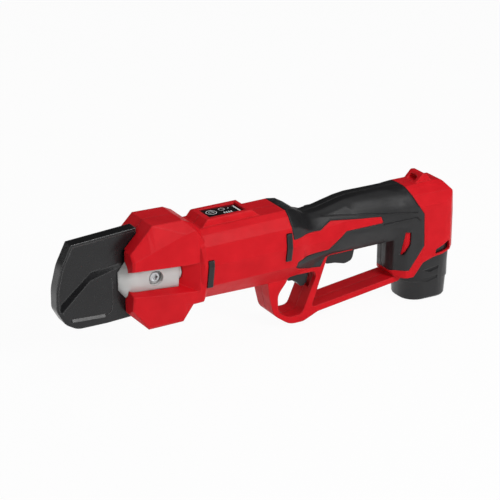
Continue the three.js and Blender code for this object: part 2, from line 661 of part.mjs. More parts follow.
// Nose casting: a clevis that holds both blades, with a neck round the drive nut and a flange
function noseCasting() {
  const bosses = join(
    rod('y', BOSS_R, [-CLEVIS_HALF - 1, -BLADE_OUT - WASHER_THICK - 2 * GAP], [PIVOT_X, 0]),
    rod('y', BOSS_R, [BLADE_OUT + GAP, CLEVIS_HALF + 1], [PIVOT_X, 0]),
  );
  const web = cut(
    block([-103, NOSE_REAR_X - 4], [-CLEVIS_HALF - 1, CLEVIS_HALF + 1], [-25, -14.6]),
    block([-110, -80], [BLADE_GAP / 2 - GAP, BLADE_OUT + GAP], [-30, -10]),
  );
  const hollowed = cut(
    noseSkin(0),
    block([-160, NUT_FRONT_X - 1], [-CLEVIS_HALF, CLEVIS_HALF], [-40, 40]),
    rod('x', NUT_R + GAP, [NUT_FRONT_X - 1.5, GEARCASE_FRONT_X + 1], [0, 0]),
    block([NUT_FRONT_X - 2, GEARCASE_FRONT_X + 1], [-CLEVIS_HALF, CLEVIS_HALF], [0, FLANGE_R + 2]),
  );
  const screws = FLANGE_SCREWS.map((at) => (
    rod('x', FLANGE_SHANK_R + PIN_FIT, [FLANGE_X - 1, FLANGE_X + FLANGE_THICK + 2], at, ROUND_SMALL)
  ));
  return cut(
    join(hollowed, bosses, web),
    rod('y', PIVOT_R + PIN_FIT, [-40, 40], [PIVOT_X, 0]),
    rod('y', PIVOT_HEAD_R + 1.5, [-40, -HEAD_SEAT_Y], [PIVOT_X, 0]),
    rod('y', NUT_HEX_R + 1, [HEAD_SEAT_Y, 40], [PIVOT_X, 0]),
    rod('y', HOOK_PIN_R + PIN_FIT, [-8, 8], HOOK_LUG, ROUND_SMALL),
    ...screws,
  );
}

place('nose_casting', noseCasting(), CAST_ALLOY);
FLANGE_SCREWS.forEach((at, i) => {
  const screw = join(
    rod('x', FLANGE_HEAD_R, [FLANGE_X - FLANGE_HEAD_LENGTH - GAP, FLANGE_X - GAP], at, ROUND_SMALL),
    rod('x', FLANGE_SHANK_R, [FLANGE_X - 0.5, SCREW_END_X], at, ROUND_SMALL),
  );
  place(`flange_screw_${i + 1}`, screw, STEEL);
});

// Blades. Corners are [x, z, radius] with the blades closed
const CUTTING_EDGE = [
  [-100, 11.8], [-118, 13.6], [-140, 17, 40], [-168, 14, 60], [-193, 2, 1], [-170, -9, 60],
  [-145, -13.4, 40], [-120, -11.6], [-100, -12],
];
const HOOK_EDGE = [
  [-107, 8], [-94.6, -7], [-92.6, -16, 3], [-93.4, -24.6, 3], [-103, -25.6, 4], [-122, -25.4],
  [-150, -31, 40], [-176, -27.5, 30], [-192, -10, 3], [-190.6, -5.6, 1], [-182, -10, 20],
  [-166, -17, 40], [-145, -20, 60], [-119, -9],
];

// Turns tail corners [across, out] to the rest angle of the tail
function tailOutline(corners) {
  const lean = Math.PI / 9;
  return corners.map(([across, out]) => [
    PIVOT_X + across * Math.cos(lean) - out * Math.sin(lean),
    out * Math.cos(lean) + across * Math.sin(lean),
  ]);
}

function cuttingBlade() {
  const y = [-BLADE_OUT, -BLADE_GAP / 2];
  const slotHalf = YOKE_PIN_R + PIN_FIT + 0.15;
  const tail = tailOutline([[-TAIL_HALF, 5], [-TAIL_HALF, TAIL_R], [TAIL_HALF, TAIL_R], [TAIL_HALF, 5]]);
  const slot = tailOutline([[-slotHalf, 15.2], [-slotHalf, 23.8], [slotHalf, 23.8], [slotHalf, 15.2]]);
  const plateShape = join(
    slab(outline(CUTTING_EDGE, 3), y), slab(tail, y), rod('y', BLADE_DISC_R, y, [PIVOT_X, 0]),
  );
  return cut(plateShape, slab(slot, [-10, 10]), rod('y', PIVOT_R + PIN_FIT, [-10, 10], [PIVOT_X, 0]));
}

function hookBlade() {
  const y = [BLADE_GAP / 2, BLADE_OUT];
  const plateShape = join(slab(outline(HOOK_EDGE, 3), y), rod('y', BLADE_DISC_R, y, [PIVOT_X, 0]));
  return cut(
    plateShape,
    rod('y', PIVOT_R + PIN_FIT, [-10, 10], [PIVOT_X, 0]),
    rod('y', HOOK_PIN_R + PIN_FIT, [-10, 10], HOOK_LUG, ROUND_SMALL),
  );
}

place('cutting_blade', cuttingBlade(), BLADE_STEEL);
place('hook_blade', hookBlade(), BLADE_STEEL);
place('hook_pin', rod('y', HOOK_PIN_R, [-7.6, 7.6], HOOK_LUG, ROUND_SMALL), STEEL);

// Pivot bolt with its nut and the washer beside the moving blade
function pivotBolt() {
  const bolt = join(
    rod('y', PIVOT_HEAD_R, [-HEAD_SEAT_Y - 3.4, -HEAD_SEAT_Y - GAP], [PIVOT_X, 0]),
    rod('y', PIVOT_R, [-HEAD_SEAT_Y - 1, HEAD_SEAT_Y + 4.4], [PIVOT_X, 0]),
  );
  return cut(bolt, rod('y', 2.8, [-HEAD_SEAT_Y - 4, -HEAD_SEAT_Y - 1.2], [PIVOT_X, 0], 6));
}

place('pivot_bolt', pivotBolt(), STEEL);
place('pivot_nut', cut(
  rod('y', NUT_HEX_R, [HEAD_SEAT_Y + GAP, HEAD_SEAT_Y + 4], [PIVOT_X, 0], 6),
  rod('y', PIVOT_R + PIN_FIT, [0, 40], [PIVOT_X, 0]),
), STEEL);
place('pivot_washer', cut(
  rod('y', 10, [-BLADE_OUT - GAP - WASHER_THICK, -BLADE_OUT - GAP], [PIVOT_X, 0]),
  rod('y', PIVOT_R + PIN_FIT, [-20, 0], [PIVOT_X, 0]),
), BLADE_STEEL);

// Drive nut with two arms that carry the cross pin in the blade's tail slot
const ARM = [
  [-118.4, 13.2], [-118.4, 24.4], [-86, 24.4], [-76, 9], [-76, 1], [-88, 1], [-88, 9], [-95, 13.2],
];
const ARM_Y = [BLADE_OUT + 0.8, CLEVIS_HALF - 0.6];

function driveNut() {
  const arms = join(slab(ARM, ARM_Y), slab(ARM, [-ARM_Y[1], -ARM_Y[0]]));
  return cut(
    join(rod('x', NUT_R, [NUT_FRONT_X, NUT_FRONT_X + NUT_LENGTH], [0, 0]), arms),
    rod('x', SCREW_R + GAP, [NUT_FRONT_X - 1, -40]),
    rod('y', YOKE_PIN_R + PIN_FIT, [-20, 20], [YOKE_PIN_X, YOKE_PIN_Z]),
  );
}

place('drive_nut', driveNut(), STEEL);
place('yoke_pin', rod('y', YOKE_PIN_R, [-ARM_Y[1], ARM_Y[1]], [YOKE_PIN_X, YOKE_PIN_Z]), STEEL);

// Ball screw, its thrust bearing and the planetary gear stage
const PLANET_ORBIT = (MODULE_MM * (SUN_TEETH + PLANET_TEETH)) / 2;

place('ball_screw', turned([
  [NUT_FRONT_X + 1, 0], [NUT_FRONT_X + 1, SCREW_R], [BEARING_X - 1.9, SCREW_R],
  [BEARING_X - 1.9, SCREW_COLLAR_R], [BEARING_X - GAP, SCREW_COLLAR_R], [BEARING_X - GAP, 5],
  [CARRIER_X[0] - GAP, 5], [CARRIER_X[0] - GAP, 4], [CARRIER_X[1] - GAP, 4], [CARRIER_X[1] - GAP, 0],
]), STEEL);

const ring = ([x0, x1], inner, outer) => turned(
  [[x0, inner], [x0, outer], [x1, outer], [x1, inner], [x0, inner]],
);

place('thrust_bearing', ring([BEARING_X, BEARING_X + BEARING_LENGTH], 5.2, BEARING_R), STEEL);

function gearcase() {
  const front = BEARING_X - GAP;
  const step = BEARING_X + BEARING_LENGTH + GAP;
  const shell = turned([
    [GEARCASE_FRONT_X, NUT_R + 0.6], [GEARCASE_FRONT_X, GEARCASE_R], [GEARCASE_REAR_X, GEARCASE_R],
    [GEARCASE_REAR_X, RING_OUTER_R + GAP], [step, RING_OUTER_R + GAP], [step, BEARING_R + GAP],
    [front, BEARING_R + GAP], [front, NUT_R + 0.6], [GEARCASE_FRONT_X, NUT_R + 0.6],
  ]);
  const screws = FLANGE_SCREWS.map((at) => (
    rod('x', FLANGE_SHANK_R + PIN_FIT, [GEARCASE_FRONT_X - 0.4, SCREW_END_X + 0.4], at, ROUND_SMALL)
  ));
  return cut(shell, ...screws);
}

// Teeth as straight-sided blocks with backlash; internal teeth point to the axis
function gearOutline(teeth, sign, phase = 0) {
  const pitch = (MODULE_MM * teeth) / 2;
  const step = (2 * Math.PI) / teeth;
  const [root, tip] = [pitch - sign * 1.25 * MODULE_MM, pitch + sign * 0.85 * MODULE_MM];
  const corners = [[root, -0.3], [tip, -0.11], [tip, 0.11], [root, 0.3]];
  return Array.from({ length: teeth }, (_, k) => corners.map(([r, share]) => {
    const angle = phase + (k + share) * step;
    return [r * Math.cos(angle), r * Math.sin(angle)];
  })).flat();
}

const gearSpan = [GEAR_X, GEAR_X + GEAR_LENGTH];
place('gearcase', gearcase(), CAST_ALLOY);
place('ring_gear', cut(
  rod('x', RING_OUTER_R, gearSpan, [0, 0]), bar(gearOutline(RING_TEETH, -1), [-60, 0]),
), STEEL);
place('sun_gear', cut(
  bar(gearOutline(SUN_TEETH, 1), gearSpan), rod('x', 2 + PIN_FIT, [-60, 0], [0, 0], ROUND_SMALL),
), STEEL);

const planetSpots = [0, 1, 2].map((k) => {
  const angle = (k * 2 * Math.PI) / 3;
  return { angle, at: [PLANET_ORBIT * Math.cos(angle), PLANET_ORBIT * Math.sin(angle)] };
});
place('planet_carrier', cut(
  join(
    rod('x', 15.5, CARRIER_X, [0, 0]),
    ...planetSpots.map(({ at }) => rod('x', PLANET_PIN_R, [CARRIER_X[0], gearSpan[1]], at, ROUND_SMALL)),
  ),
  rod('x', 4 + PIN_FIT, [-60, 0]),
), STEEL);
planetSpots.forEach(({ angle, at: [y, z] }, k) => {
  const phase = angle + Math.PI - Math.PI / PLANET_TEETH;
  const wheel = bar(gearOutline(PLANET_TEETH, 1, phase), gearSpan).translate(0, y, z);
  const bore = rod('x', PLANET_PIN_R + PIN_FIT, [-60, 0], [y, z], ROUND_SMALL);
  place(`planet_gear_${k + 1}`, cut(wheel, bore), STEEL);
});

// Brushless motor: can, wound stator, rotor on two bearings, end plate and sensor board
const frontBearingX = MOTOR_FRONT_X + 1.2;
const rearBearingX = MOTOR_REAR_X - MOTOR_BEARING_LENGTH - 2;

place('motor_can', turned([
  [MOTOR_FRONT_X, SHAFT_R + 1], [MOTOR_FRONT_X, MOTOR_R], [MOTOR_REAR_X, MOTOR_R],
  [MOTOR_REAR_X, MOTOR_R - CAN_WALL], [MOTOR_FRONT_X + CAN_FRONT, MOTOR_R - CAN_WALL],
  [MOTOR_FRONT_X + CAN_FRONT, MOTOR_BEARING_R + GAP], [frontBearingX - GAP, MOTOR_BEARING_R + GAP],
  [frontBearingX - GAP, SHAFT_R + 1], [MOTOR_FRONT_X, SHAFT_R + 1],
]), STEEL);
for (const [name, x] of [['front_bearing', frontBearingX], ['rear_bearing', rearBearingX]]) {
  const span = [x, x + MOTOR_BEARING_LENGTH - 0.2];
  place(name, ring(span, SHAFT_R + PIN_FIT, MOTOR_BEARING_R), STEEL);
}

function stator() {
  const span = [STATOR_X, STATOR_X + STATOR_LENGTH];
  const slots = [0, 1, 2, 3, 4, 5].map((k) => {
    const slot = block([span[0] - 1, span[1] + 1], [-1.6, 1.6], [0, 18.5]);
    return slot.rotateX((k * Math.PI) / 3);
  });
  return cut(ring(span, ROTOR_R + AIR_GAP, MOTOR_R - CAN_WALL - GAP), ...slots);
}

place('stator', stator(), COPPER);
place('rotor', turned([
  [gearSpan[0] + GAP, 0], [gearSpan[0] + GAP, 2], [-27, 2], [-27, SHAFT_R], [STATOR_X, SHAFT_R],
  [STATOR_X, ROTOR_R], [STATOR_X + STATOR_LENGTH, ROTOR_R], [STATOR_X + STATOR_LENGTH, SHAFT_R],
  [MOTOR_REAR_X + 2, SHAFT_R], [MOTOR_REAR_X + 2, 0],
]), STEEL);
place('motor_end_plate', turned([
  [rearBearingX - 0.8, MOTOR_R - CAN_WALL - GAP], [rearBearingX + MOTOR_BEARING_LENGTH,
    MOTOR_R - CAN_WALL - GAP],
  [rearBearingX + MOTOR_BEARING_LENGTH, SHAFT_R + 1.2], [rearBearingX + MOTOR_BEARING_LENGTH - 0.1,
    SHAFT_R + 1.2],
  [rearBearingX + MOTOR_BEARING_LENGTH - 0.1, MOTOR_BEARING_R + GAP],
  [rearBearingX - 0.8, MOTOR_BEARING_R + GAP], [rearBearingX - 0.8, MOTOR_R - CAN_WALL - GAP],
]), BLACK_PLASTIC);
place('sensor_board', ring([MOTOR_REAR_X - 1.6, MOTOR_REAR_X], SHAFT_R + 2, MOTOR_R - CAN_WALL - GAP), BOARD);

// Electronics and trigger
const gripCavity = () => hullAlongX(BARREL_STATIONS, WALL + RUBBER + GAP);

place('control_module', common(gripCavity(), block([40, 80], [-20, 20], [1, 15])), BLACK_PLASTIC);

const PLUNGER = { x: 90, r: 2.5, z: [-7.2, 2] };
place('trigger_switch', cut(
  common(gripCavity(), block([80, 100], [-20, 20], [-4.4, 9])),
  rod('z', PLUNGER.r + GAP, [-10, PLUNGER.z[1] + 3], [PLUNGER.x, 0], ROUND_SMALL),
), BLACK_PLASTIC);
place('switch_plunger', rod('z', PLUNGER.r, PLUNGER.z, [PLUNGER.x, 0], ROUND_SMALL), BLACK_PLASTIC);
place('trigger', cut(
  slab(outline(TRIGGER_SIDE, 3), [-TRIGGER_HALF, TRIGGER_HALF]),
  rod('y', TRIGGER_PIN_R + PIN_FIT, [-20, 20], TRIGGER_PIVOT, ROUND_SMALL),
), BLACK_PLASTIC);
place('trigger_pin', rod('y', TRIGGER_PIN_R, [-13, 13], TRIGGER_PIVOT, ROUND_SMALL), STEEL);

// Battery and the terminal block that it slides onto
const TERMINALS = fromBattery([[-12, -8], [0, 0], [12, 8]]);
const TERMINAL_Z = [BATTERY_STEM_TOP - 6, BATTERY_STEM_TOP + 4];
const STEM_INNER = [BATTERY_STEM[0] - 2 * BATTERY_WALL, BATTERY_STEM[1] - 2 * BATTERY_WALL,
  BATTERY_STEM[2] - BATTERY_WALL];
const CELL_TOP = BATTERY_STEM_TOP - 6.8;

place('terminal_block', join(
  common(
    rearBody(WALL + RUBBER + GAP),
    block([BATTERY_X - 20, BATTERY_X + 17], [-30, 30], [BATTERY_STEM_TOP + 2.4, 22]),
  ),
  ...TERMINALS.map(([x, y]) => block([x - 2.5, x + 2.5], [y - 0.4, y + 0.4], TERMINAL_Z)),
), BLACK_PLASTIC);

// The foot ends below the red housing, which closes round the narrower shoulder
function batteryFoot() {
  const ringAt = (plan, z) => roundedPlan(plan).map((p) => new THREE.Vector3(p.x, p.y, z));
  const foot = loft([
    ringAt(BATTERY_FOOT.map((size) => size - 3), BATTERY_FOOT_Z), ringAt(BATTERY_FOOT, BATTERY_FOOT_Z + 1.5),
    ringAt(BATTERY_HEAD, BATTERY_HEAD_Z),
  ]);
  const shoulder = plate(roundedPlan(BATTERY_SHOULDER), [-60, SHOULDER_TOP]);
  return join(cut(foot, rearBody(-GAP), block([100, 300], [-50, 50], [BATTERY_HEAD_Z - 2, 0])), shoulder);
}

// Finger grooves in the sides of the foot
const FINGER_GROOVES = [
  [[-10, -48.4], [8.4, -45.7], [7.6, -48.7], [-1.7, -51.1]],
  [[-15.2, -57.6], [7.7, -55.7], [7.1, -58.7], [-4.6, -61.2]],
].map(fromBattery);
const GROOVE_Y = 21.8;

// The latches are bent plates in pockets of the shoulder
function latchPlate(inward, grow) {
  const skin = cut(plate(roundedPlan(BATTERY_SHOULDER, grow), [-40, -10]),
    plate(roundedPlan(BATTERY_SHOULDER, -LATCH.thick - inward - grow), [-41, -9]));
  const [x0, x1] = LATCH.x;
  const [z0, z1] = LATCH.z;
  return common(skin, block([x0 - grow, x1 + grow], [-40, 0], [z0 - grow, z1 + grow]));
}

function batteryCase() {
  const pocket = latchPlate(LATCH.travel, GAP);
  const grooves = FINGER_GROOVES.map((corners) => slab(corners, [-40, -GROOVE_Y]));
  const foot = cut(batteryFoot(), pocket, mirrorY(pocket), ...grooves, ...grooves.map(mirrorY));
  const body = join(foot, plate(roundedPlan(BATTERY_STEM), [-60, BATTERY_STEM_TOP]));
  const floor = CELL_TOP - CELL_LENGTH - GAP;
  return cut(
    body,
    plate(roundedPlan(STEM_INNER), [floor, BATTERY_STEM_TOP - BATTERY_WALL]),
    ...TERMINALS.map(([x, y]) => block([x - 3, x + 3], [y - 1, y + 1], [0, 20])),
  );
}

place('battery_case', batteryCase(), BLACK_PLASTIC);
CELLS.forEach(([x, y], i) => {
  const cell = rod('z', CELL_R, [CELL_TOP - CELL_LENGTH, CELL_TOP], [BATTERY_X + x, y], 20);
  place(`battery_cell_${i + 1}`, cell, CELL_WRAP);
});
const latch = latchPlate(0, 0);
place('left_latch', latch, BLACK_PLASTIC);
place('right_latch', mirrorY(latch), BLACK_PLASTIC);

// Sheath over the blades: a rimmed shell with a raised lower panel, open at the rear
const SHEATH_OUTLINE = [
  [SHEATH_REAR_X, 46.2], [-182.6, 41, 1.2], [-192.6, 21, 40], [-198, 0, 40], [-198.2, -19, 10],
  [-190.4, -33, 12], [-179, -39.8, 16], [-150, -39.6], [SHEATH_REAR_X, -37.6],
];
// The panel's flat face, and its foot on the shell
const PANEL_FACE = [
  [SHEATH_REAR_X, 17.7], [-166, 5.4], [-193, -19.6], [-192.2, -24], [-188, -31], [-182, -35.4],
  [-170, -37.6], [-150, -37.8], [SHEATH_REAR_X, -35.8],
];
const PANEL_FOOT = [
  [SHEATH_REAR_X, 21.6], [-164, 12.3], [-194, -13.2], [-195.4, -22], [-189.4, -32.4], [-182.6, -36.8],
  [-170, -38.8], [-150, -39], [SHEATH_REAR_X, -37],
];
const SHEATH_CAVITY_HALF = 5.2;

function sheath() {
  const rim = slab(outline(SHEATH_OUTLINE, 4), [-SHEATH_RIM, SHEATH_RIM]);
  const beyond = SHEATH_OUTLINE.with(0, [SHEATH_REAR_X + 8, 46.8]).with(-1, [SHEATH_REAR_X + 8, -37.4]);
  const recess = slab(outline(inset(beyond, SHEATH_BAND), 4), [SHEATH_RIM - SHEATH_STEP, 20]);
  const shell = cut(rim, recess, mirrorY(recess));
  const ringAt = (corners, y) => corners.map(([x, z]) => new THREE.Vector3(x, y, z));
  const foot = SHEATH_RIM - SHEATH_STEP - GAP;
  const panel = loft([
    ringAt(PANEL_FACE, -SHEATH_HALF), ringAt(PANEL_FOOT, -foot), ringAt(PANEL_FOOT, foot),
    ringAt(PANEL_FACE, SHEATH_HALF),
  ]);
  const cavity = slab(outline(inset(beyond, SHEATH_WALL), 4), [-SHEATH_CAVITY_HALF, SHEATH_CAVITY_HALF]);
  return cut(join(shell, panel), cavity);
}

place('sheath', sheath(), BLACK_PLASTIC);

const root = new THREE.Group();
root.add(tool);
tool.position.set(-BATTERY_X, 0, -BATTERY_FOOT_Z);

export default root;
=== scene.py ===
# Battery electric pruner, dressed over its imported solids. Metres, in the frame of the solids:
# the origin is the middle of the battery's base, the blades point to -X and +Z is up.
import math

import bmesh
import bpy
from mathutils import Matrix, Vector
from mathutils.bvhtree import BVHTree


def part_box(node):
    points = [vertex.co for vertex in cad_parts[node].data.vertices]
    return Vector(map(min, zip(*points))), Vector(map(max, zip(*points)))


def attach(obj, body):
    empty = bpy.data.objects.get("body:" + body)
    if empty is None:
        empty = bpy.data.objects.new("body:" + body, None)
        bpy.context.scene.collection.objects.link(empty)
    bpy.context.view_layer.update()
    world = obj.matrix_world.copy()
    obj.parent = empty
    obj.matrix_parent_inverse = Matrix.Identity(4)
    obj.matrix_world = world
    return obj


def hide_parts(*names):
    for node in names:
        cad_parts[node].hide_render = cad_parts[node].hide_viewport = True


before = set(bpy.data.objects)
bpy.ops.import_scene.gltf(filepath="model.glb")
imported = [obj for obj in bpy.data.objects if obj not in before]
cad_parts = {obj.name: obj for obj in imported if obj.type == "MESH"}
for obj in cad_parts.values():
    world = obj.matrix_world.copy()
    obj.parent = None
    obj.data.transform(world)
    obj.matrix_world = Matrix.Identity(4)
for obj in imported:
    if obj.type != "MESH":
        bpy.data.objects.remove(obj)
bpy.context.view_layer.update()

# Camera: the photograph's view, from the left front and a little above, through a long lens.
# It looks at the middle of the barrel.
barrel_middle = Vector((-0.190, 0.0, 0.0795))
view_turn, view_height, view_distance = math.radians(-29.0), math.radians(21.5), 1.674
towards_camera = Vector((
    math.sin(view_turn) * math.cos(view_height),
    -math.cos(view_turn) * math.cos(view_height),
    math.sin(view_height),
))
camera = bpy.data.objects.new("camera", bpy.data.cameras.new("camera"))
camera.data.lens, camera.data.sensor_width = 129.6, 36.0
camera.location = barrel_middle + towards_camera * view_distance
camera.rotation_mode = "QUATERNION"
camera.rotation_quaternion = (-towards_camera).to_track_quat("-Z", "Y")
bpy.context.scene.collection.objects.link(camera)
bpy.context.scene.camera = camera

# Studio: a pale floor just under the battery's base, and a room that is white to the camera and
# dark in reflections from above. The key lamp is high on the right of the camera, with a low one
# beside it and two weak ones above the tool and beyond its blades.
bpy.context.scene.view_settings.view_transform = "Standard"
floor_half_width, floor_drop, floor_white_share = 6.0, 0.001, 0.95
floor_level, floor_roughness = 0.9, 0.9
room_light = 0.34
mirrored_level, mirrored_height = (0.08, 0.03), (0.02, 0.34)


def link(tree, source, target):
    tree.links.new(source, target)


def seen_directly(tree):
    """1 for rays from the camera, from a mirror image or through glass, and 0 for plain light."""
    path = tree.nodes.new("ShaderNodeLightPath")
    seen = path.outputs["Is Camera Ray"]
    for other in ("Is Glossy Ray", "Is Transmission Ray"):
        either = tree.nodes.new("ShaderNodeMath")
        either.operation = "MAXIMUM"
        link(tree, seen, either.inputs[0])
        link(tree, path.outputs[other], either.inputs[1])
        seen = either.outputs[0]
    return seen


def white_to_the_camera(tree, shader):
    """Mixes a shader with plain white where the camera or a reflection looks at it."""
    share = tree.nodes.new("ShaderNodeMath")
    share.operation = "MULTIPLY"
    share.inputs[1].default_value = floor_white_share
    link(tree, seen_directly(tree), share.inputs[0])
    white = tree.nodes.new("ShaderNodeEmission")
    white.inputs["Strength"].default_value = 1.0
    mixed = tree.nodes.new("ShaderNodeMixShader")
    link(tree, share.outputs[0], mixed.inputs[0])
    link(tree, shader.outputs[0], mixed.inputs[1])
    link(tree, white.outputs[0], mixed.inputs[2])
    link(tree, mixed.outputs[0], tree.nodes["Material Output"].inputs["Surface"])


def in_scene(name, shape, material):
    """Puts a bmesh in the scene as an object with one material."""
    piece = bpy.data.objects.new(name, bpy.data.meshes.new(name))
    shape.to_mesh(piece.data)
    shape.free()
    piece.data.materials.append(material)
    bpy.context.scene.collection.objects.link(piece)
    return piece


floor_finish = bpy.data.materials.new("pale_floor")
floor_finish.use_nodes = True
floor_shader = floor_finish.node_tree.nodes["Principled BSDF"]
floor_shader.inputs["Base Color"].default_value = (floor_level, floor_level, floor_level, 1.0)
floor_shader.inputs["Roughness"].default_value = floor_roughness
white_to_the_camera(floor_finish.node_tree, floor_shader)
floor_mesh = bmesh.new()
bmesh.ops.create_grid(floor_mesh, x_segments=1, y_segments=1, size=floor_half_width)
bmesh.ops.translate(floor_mesh, vec=(0.0, 0.0, -floor_drop), verts=floor_mesh.verts)
floor = in_scene("floor", floor_mesh, floor_finish)

world = bpy.data.worlds.new("studio")
bpy.context.scene.world = world
world.use_nodes = True
room = world.node_tree.nodes["Background"]
room.inputs["Color"].default_value = (1.0, 1.0, 1.0, 1.0)
room_place = world.node_tree.nodes.new("ShaderNodeTexCoord")
room_height = world.node_tree.nodes.new("ShaderNodeSeparateXYZ")
link(world.node_tree, room_place.outputs["Generated"], room_height.inputs["Vector"])
mirrored = world.node_tree.nodes.new("ShaderNodeMapRange")
mirrored.inputs["From Min"].default_value, mirrored.inputs["From Max"].default_value = mirrored_height
mirrored.inputs["To Min"].default_value, mirrored.inputs["To Max"].default_value = mirrored_level
link(world.node_tree, room_height.outputs["Z"], mirrored.inputs["Value"])
room_path = world.node_tree.nodes.new("ShaderNodeLightPath")
level_so_far = room_light
for ray, level in (("Is Glossy Ray", mirrored.outputs["Result"]), ("Is Transmission Ray", 1.0),
                   ("Is Camera Ray", 1.0)):
    choice = world.node_tree.nodes.new("ShaderNodeMix")
    link(world.node_tree, room_path.outputs[ray], choice.inputs[0])
    for socket, value in ((choice.inputs[2], level_so_far), (choice.inputs[3], level)):
        if isinstance(value, float):
            socket.default_value = value
        else:
            link(world.node_tree, value, socket)
    level_so_far = choice.outputs[0]
link(world.node_tree, level_so_far, room.inputs["Strength"])

for lamp_name, place, size, power in (
    ("key_lamp", (0.25, -1.52, 1.12), 0.7, 16.5),
    ("low_lamp", (-0.4, -1.7, 0.12), 0.9, 3.5),
    ("head_lamp", (-1.5, 0.3, 0.9), 0.9, 0.8),
    ("over_lamp", (0.1, -0.2, 1.8), 1.0, 3.6),
):
    lamp = bpy.data.objects.new(lamp_name, bpy.data.lights.new(lamp_name, "AREA"))
    lamp.data.shape, lamp.data.size, lamp.data.energy = "SQUARE", size, power
    lamp.location = place
    lamp.rotation_mode = "QUATERNION"
    lamp.rotation_quaternion = (barrel_middle - lamp.location).to_track_quat("-Z", "Y")
    bpy.context.scene.collection.objects.link(lamp)

# Housing halves: two glass-filled nylon mouldings, satin red, screwed together on the middle plane.
# Their edges are rounded by the mould, and the skin has a fine spark-eroded grain.
merge_distance, flat_within = 2e-6, math.radians(0.2)
mottle_size, mottle_lift = 0.018, 0.002
gloss_size, gloss_swing = 0.006, 0.12
wear_and_highlight_lift = 0.25


def noise(tree, size, detail=2.0, stretch=(1.0, 1.0, 1.0)):
    """A noise pattern on object coordinates; size is one spot's width in metres."""
    place = tree.nodes.new("ShaderNodeTexCoord")
    scale = tree.nodes.new("ShaderNodeMapping")
    scale.inputs["Scale"].default_value = stretch
    pattern = tree.nodes.new("ShaderNodeTexNoise")
    pattern.inputs["Scale"].default_value = 1.0 / size
    pattern.inputs["Detail"].default_value = detail
    link(tree, place.outputs["Object"], scale.inputs["Vector"])
    link(tree, scale.outputs["Vector"], pattern.inputs["Vector"])
    return pattern.outputs["Fac"]


def spread(tree, value, low, high, of=(0.3, 0.7)):
    """Maps a pattern's values onto the range from low to high."""
    mapped = tree.nodes.new("ShaderNodeMapRange")
    mapped.inputs["From Min"].default_value, mapped.inputs["From Max"].default_value = of
    mapped.inputs["To Min"].default_value, mapped.inputs["To Max"].default_value = low, high
    link(tree, value, mapped.inputs["Value"])
    return mapped.outputs["Result"]


def blended(tree, share, first, second):
    """A colour between two others. Either may be numbers or another node's output."""
    mixed = tree.nodes.new("ShaderNodeMix")
    mixed.data_type = "RGBA"
    link(tree, share, mixed.inputs[0])
    for socket, colour in ((mixed.inputs[6], first), (mixed.inputs[7], second)):
        if isinstance(colour, tuple):
            socket.default_value = (*colour, 1.0)
        else:
            link(tree, colour, socket)
    return mixed.outputs[2]


def near_edges(tree, radius, samples, within):
    """Normals of edges rounded to a radius, and a mask that rises to 1 along those edges."""
    bevel = tree.nodes.new("ShaderNodeBevel")
    bevel.samples = samples
    bevel.inputs["Radius"].default_value = radius
    true_normal = tree.nodes.new("ShaderNodeNewGeometry")
    alike = tree.nodes.new("ShaderNodeVectorMath")
    alike.operation = "DOT_PRODUCT"
    link(tree, bevel.outputs["Normal"], alike.inputs[0])
    link(tree, true_normal.outputs["Normal"], alike.inputs[1])
    return bevel.outputs["Normal"], spread(tree, alike.outputs["Value"], 1.0, 0.0, of=within)


def finish(name, colour, roughness, grain=0.0005, depth=0.00004, edge=0.0009, metal=0.0,
           uneven=0.06, wear_and_highlight=0.12, stretch=(1.0, 1.0, 1.0), shine=0.12):
    """A surface with a fine grain, slightly uneven colour and gloss, and rounded edges painted paler, as
    wear and as a painted highlight.
    """
    material = bpy.data.materials.new(name)
    material.use_nodes = True
    tree = material.node_tree
    shader = tree.nodes["Principled BSDF"]
    shader.inputs["Metallic"].default_value = metal
    shader.inputs["Specular IOR Level"].default_value = shine
    normal, wear_and_highlight_edges = near_edges(tree, edge, samples=6, within=(0.9, 1.0))
    darker = tuple(c * (1.0 - uneven) for c in colour)
    lighter = tuple(min(1.0, c * (1.0 + uneven) + mottle_lift) for c in colour)
    wear_and_highlight_colour = tuple(c + (1.0 - c) * wear_and_highlight_lift for c in colour)
    mottled = blended(tree, spread(tree, noise(tree, mottle_size), 0.0, 1.0), darker, lighter)
    # Edges are painted paler towards white: partly wear, partly a painted highlight along them.
    wear_and_highlight_share = tree.nodes.new("ShaderNodeMath")
    wear_and_highlight_share.operation = "MULTIPLY"
    wear_and_highlight_share.inputs[1].default_value = wear_and_highlight
    link(tree, wear_and_highlight_edges, wear_and_highlight_share.inputs[0])
    link(tree, blended(tree, wear_and_highlight_share.outputs[0], mottled, wear_and_highlight_colour), shader.inputs["Base Color"])
    gloss = spread(tree, noise(tree, gloss_size, 4.0),
                   roughness * (1.0 - gloss_swing), roughness * (1.0 + gloss_swing))
    link(tree, gloss, shader.inputs["Roughness"])
    bump = tree.nodes.new("ShaderNodeBump")
    bump.inputs["Distance"].default_value = depth
    link(tree, noise(tree, grain, 3.0, stretch), bump.inputs["Height"])
    link(tree, normal, bump.inputs["Normal"])
    link(tree, bump.outputs["Normal"], shader.inputs["Normal"])
    return material


def smooth_below(piece, degrees):
    """Shades a piece smooth, apart from its edges that are sharper than an angle."""
    piece.data.shade_smooth()
    piece.data.set_sharp_from_angle(angle=math.radians(degrees))


def finished_copy(node, body, material, smooth=24.0):
    """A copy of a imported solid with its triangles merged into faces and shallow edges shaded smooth."""
    shape = bmesh.new()
    shape.from_mesh(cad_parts[node].data)
    bmesh.ops.remove_doubles(shape, verts=shape.verts, dist=merge_distance)
    bmesh.ops.dissolve_limit(
        shape, angle_limit=flat_within, verts=shape.verts, edges=shape.edges,
        use_dissolve_boundaries=False, delimit=set(),
    )
    piece = in_scene(f"{node}_finished", shape, material)
    smooth_below(piece, smooth)
    weighted = piece.modifiers.new("weighted", "WEIGHTED_NORMAL")
    weighted.keep_sharp = True
    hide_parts(node)
    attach(piece, body)
